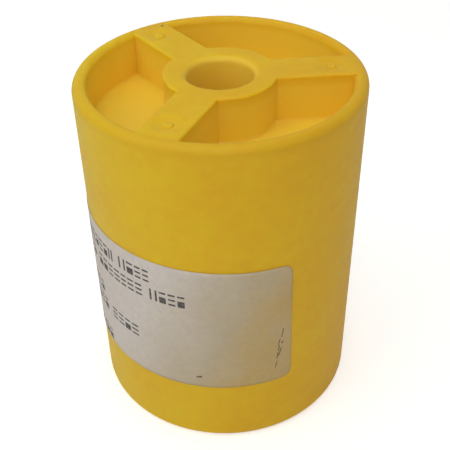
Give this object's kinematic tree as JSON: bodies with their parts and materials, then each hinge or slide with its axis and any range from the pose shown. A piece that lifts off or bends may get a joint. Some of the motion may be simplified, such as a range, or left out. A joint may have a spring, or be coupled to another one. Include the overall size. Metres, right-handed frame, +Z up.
{
  "type": "wire spool",
  "caption": "Upright moulded wire canister with spoked recessed ends, a through bore, a hidden turning reel of wire, a side wire outlet and a wrapped paper label.",
  "frame": {"origin": "centre of the canister's base, on the floor it stands on", "axes": "+Z up along the canister's axis to the spoked closed end; -Y is the front, where the label ends; +X is to the right"},
  "size_m": [0.0701, 0.0701, 0.091],
  "materials": {
    "shell_plastic": "satin moulded polyethylene",
    "cap_plastic": "satin moulded polyethylene",
    "reel_plastic": "fine-grained moulded polystyrene",
    "alloy_wire": "bright drawn",
    "eyelet_brass": "rolled, bright",
    "label_paper": "uncoated self-adhesive paper"
  },
  "bodies": {
    "base": {"base_cap": "cap_plastic"},
    "canister": {"canister_shell": "shell_plastic", "outlet_eyelet": "eyelet_brass", "paper_label": "label_paper"},
    "reel": {"reel_barrel": "reel_plastic", "lower_flange": "reel_plastic", "upper_flange": "reel_plastic", "wire_winding": "alloy_wire"}
  },
  "joints": [
    {"name": "reel_spin", "type": "hinge", "parent": "base", "child": "reel", "pos_m": [0, 0, 0.0455], "axis": [0, 0, 1], "continuous": true},
    {"name": "shell_lift", "type": "slide", "parent": "base", "child": "canister", "axis": [0, 0, 1], "range_m": [0, 0.085]}
  ]
}
